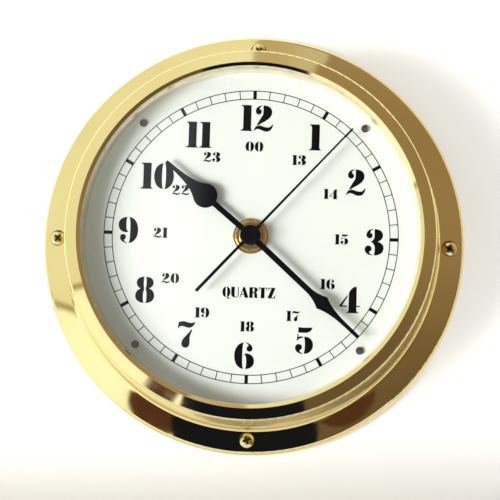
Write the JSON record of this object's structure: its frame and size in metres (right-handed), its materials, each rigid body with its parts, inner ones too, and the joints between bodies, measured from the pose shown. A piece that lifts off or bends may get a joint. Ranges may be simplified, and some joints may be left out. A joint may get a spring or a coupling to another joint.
{
  "type": "ship's deck clock",
  "caption": "Round flanged brass bulkhead clock: white 12/24-hour dial under flat glass, black hands, screwed flange, quartz movement with full gear train behind.",
  "frame": {"origin": "centre of the flange's flat rear face, on the clock axis", "axes": "-Y out of the dial towards the viewer, +Z to 12 o'clock, +X to 3 o'clock; +Y into the bulkhead"},
  "size_m": [0.15, 0.0521, 0.15],
  "materials": {
    "polished_brass": "mirror-polished and lacquered",
    "turned_brass": "fine turned, clean",
    "hand_black": "satin black lacquer",
    "dial_white": "satin white print base",
    "window_glass": "clear flat glass",
    "black_rubber": "smooth",
    "nickel": "bright nickel plate",
    "black_moulding": "fine textured moulding",
    "white_moulding": "natural acetal",
    "soft_iron": "bare sheet",
    "magnet_grey": "sintered, bare",
    "copper_wire": "enamelled wire",
    "board_green": "solder mask",
    "chip_black": "moulded",
    "cell_sleeve": "plain shrink sleeve"
  },
  "bodies": {
    "root": {"case_body": "polished_brass", "bezel_ring": "polished_brass", "glass": "window_glass", "glass_gasket": "black_rubber", "reveal_ring": "polished_brass", "dial_seat_ring": "turned_brass", "dial_plate": "dial_white", "dial_screws": "nickel", "flange_screws": "polished_brass", "movement_front_case": "black_moulding", "movement_rear_cover": "black_moulding", "train_plate": "black_moulding", "threaded_bushing": "turned_brass", "rubber_washer": "black_rubber", "centre_washer": "turned_brass", "centre_nut": "turned_brass", "stator": "soft_iron", "coil_core": "soft_iron", "coil_bobbin": "white_moulding", "coil_winding": "copper_wire", "circuit_board": "board_green", "timing_chip": "chip_black", "crystal_can": "nickel", "battery": "cell_sleeve", "contact_positive": "nickel", "contact_negative": "nickel"},
    "seconds": {"second_wheel": "white_moulding", "second_hand": "hand_black", "second_hand_cap": "hand_black"},
    "minutes": {"cannon_pinion": "turned_brass", "centre_wheel": "white_moulding", "minute_hand": "hand_black"},
    "hours": {"hour_wheel": "white_moulding", "hour_hand": "hand_black"},
    "third": {"third_wheel": "white_moulding"},
    "intermediate": {"intermediate_wheel": "white_moulding"},
    "rotor": {"rotor_pinion": "white_moulding", "rotor_magnet": "magnet_grey"},
    "motion": {"minute_wheel": "white_moulding"},
    "setting": {"setting_knob": "white_moulding"}
  },
  "joints": [
    {"name": "second_hand_turn", "type": "hinge", "parent": "root", "child": "seconds", "pos_m": [0, 0, 0], "axis": [0, 1, 0], "continuous": true},
    {"name": "minute_hand_turn", "type": "hinge", "parent": "root", "child": "minutes", "pos_m": [0, 0, 0], "axis": [0, 1, 0], "continuous": true},
    {"name": "hour_hand_turn", "type": "hinge", "parent": "root", "child": "hours", "pos_m": [0, 0, 0], "axis": [0, 1, 0], "continuous": true},
    {"name": "third_wheel_turn", "type": "hinge", "parent": "root", "child": "third", "pos_m": [0.00612, 0, 0.0106], "axis": [0, 1, 0], "continuous": true},
    {"name": "intermediate_wheel_turn", "type": "hinge", "parent": "root", "child": "intermediate", "pos_m": [0.00783, 0, -0.00365], "axis": [0, 1, 0], "continuous": true},
    {"name": "rotor_turn", "type": "hinge", "parent": "root", "child": "rotor", "pos_m": [0.01623, 0, -0.00365], "axis": [0, 1, 0], "continuous": true},
    {"name": "minute_wheel_turn", "type": "hinge", "parent": "root", "child": "motion", "pos_m": [-0.01039, 0, 0.006], "axis": [0, 1, 0], "continuous": true},
    {"name": "setting_knob_turn", "type": "hinge", "parent": "root", "child": "setting", "pos_m": [-0.02078, 0, 0.012], "axis": [0, 1, 0], "continuous": true}
  ],
  "couplings": [
    {"joint": "minute_hand_turn", "follows": "second_hand_turn", "ratio": 0.016667},
    {"joint": "hour_hand_turn", "follows": "second_hand_turn", "ratio": 0.0013889},
    {"joint": "third_wheel_turn", "follows": "second_hand_turn", "ratio": -0.13333},
    {"joint": "intermediate_wheel_turn", "follows": "second_hand_turn", "ratio": -5},
    {"joint": "rotor_turn", "follows": "second_hand_turn", "ratio": 30},
    {"joint": "minute_wheel_turn", "follows": "second_hand_turn", "ratio": -0.0055556},
    {"joint": "setting_knob_turn", "follows": "second_hand_turn", "ratio": 0.016667}
  ]
}
